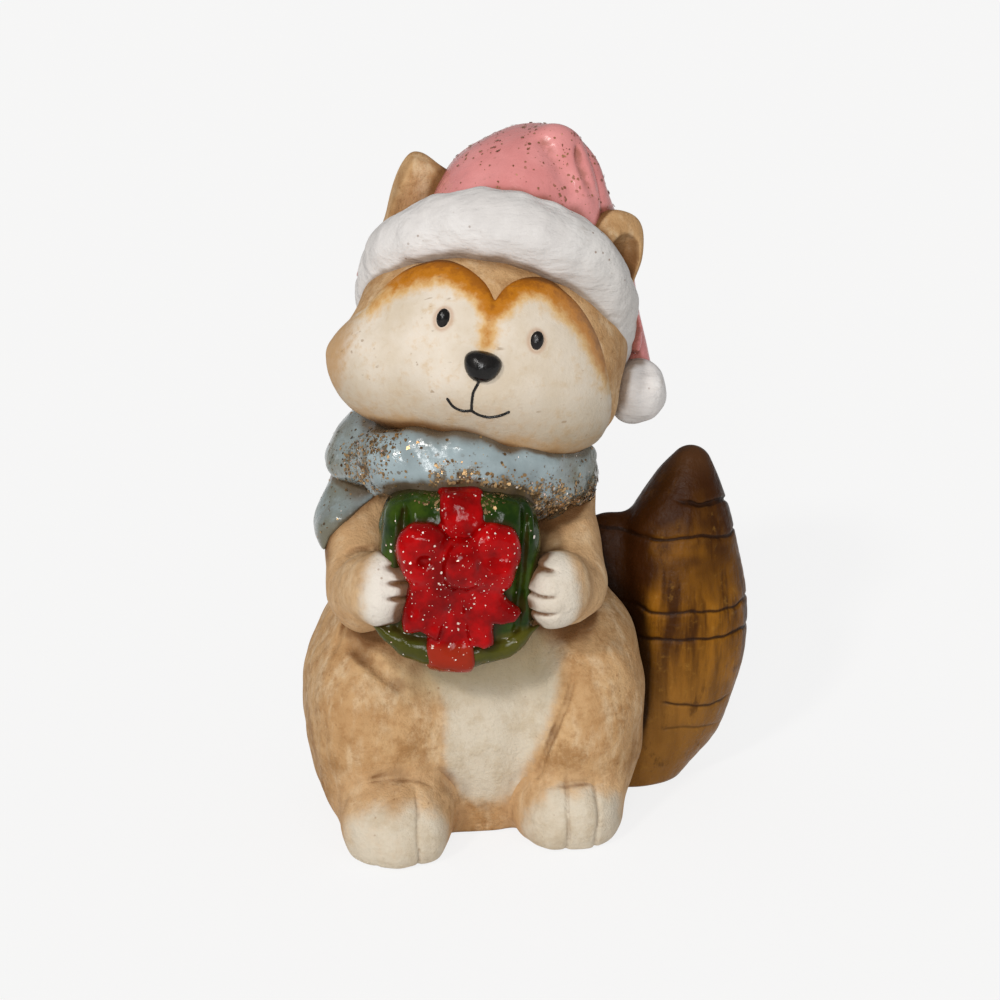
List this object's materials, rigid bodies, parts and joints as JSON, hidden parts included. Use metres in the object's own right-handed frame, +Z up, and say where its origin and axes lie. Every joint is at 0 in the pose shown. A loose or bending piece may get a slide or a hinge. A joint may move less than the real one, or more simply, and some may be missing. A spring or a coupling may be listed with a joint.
{
  "type": "fox figurine",
  "caption": "Seated fired-clay fox ornament in a winter hat and scarf, hugging a bow-tied gift, with a ringed tail standing at its side.",
  "frame": {"origin": "on the ground under the middle of the figurine's bounding box", "axes": "+Z up, the fox faces -Y, its tail stands on the +X side"},
  "size_m": [0.1118, 0.0866, 0.1681],
  "materials": {
    "tan_clay": "matte tan paint with a brown wash, cream on paws, toes and belly",
    "cream_paint": "matte off-white paint, amber along the brows",
    "black_gloss": "gloss black paint",
    "pink_gloss": "gloss pink paint with brown specks",
    "white_paint": "matte white paint",
    "blue_gloss": "gloss grey-blue paint with bronze glitter",
    "green_gloss": "gloss dark green paint",
    "red_gloss": "gloss red paint with pale glitter",
    "brown_stain": "satin brown stain, dark at the tip, amber below"
  },
  "bodies": {
    "root": {"body_shell": "tan_clay", "head_shell": "tan_clay", "face_mask": "cream_paint", "nose": "black_gloss", "eye_right": "black_gloss", "eye_left": "black_gloss", "ear_right": "tan_clay", "ear_left": "tan_clay", "hat_brim": "white_paint", "hat_crown": "pink_gloss", "hat_tip": "pink_gloss", "hat_pompom": "white_paint", "scarf_wrap": "blue_gloss", "scarf_lap": "blue_gloss", "scarf_drape": "blue_gloss", "arm_right": "tan_clay", "arm_left": "tan_clay", "gift_box": "green_gloss", "gift_ribbon": "red_gloss", "bow_knot": "red_gloss", "bow_loop_right": "red_gloss", "bow_loop_left": "red_gloss", "bow_tail_right": "red_gloss", "bow_tail_left": "red_gloss", "haunch_right": "tan_clay", "haunch_left": "tan_clay", "foot_right": "tan_clay", "foot_left": "tan_clay", "tail": "brown_stain"}
  },
  "joints": []
}
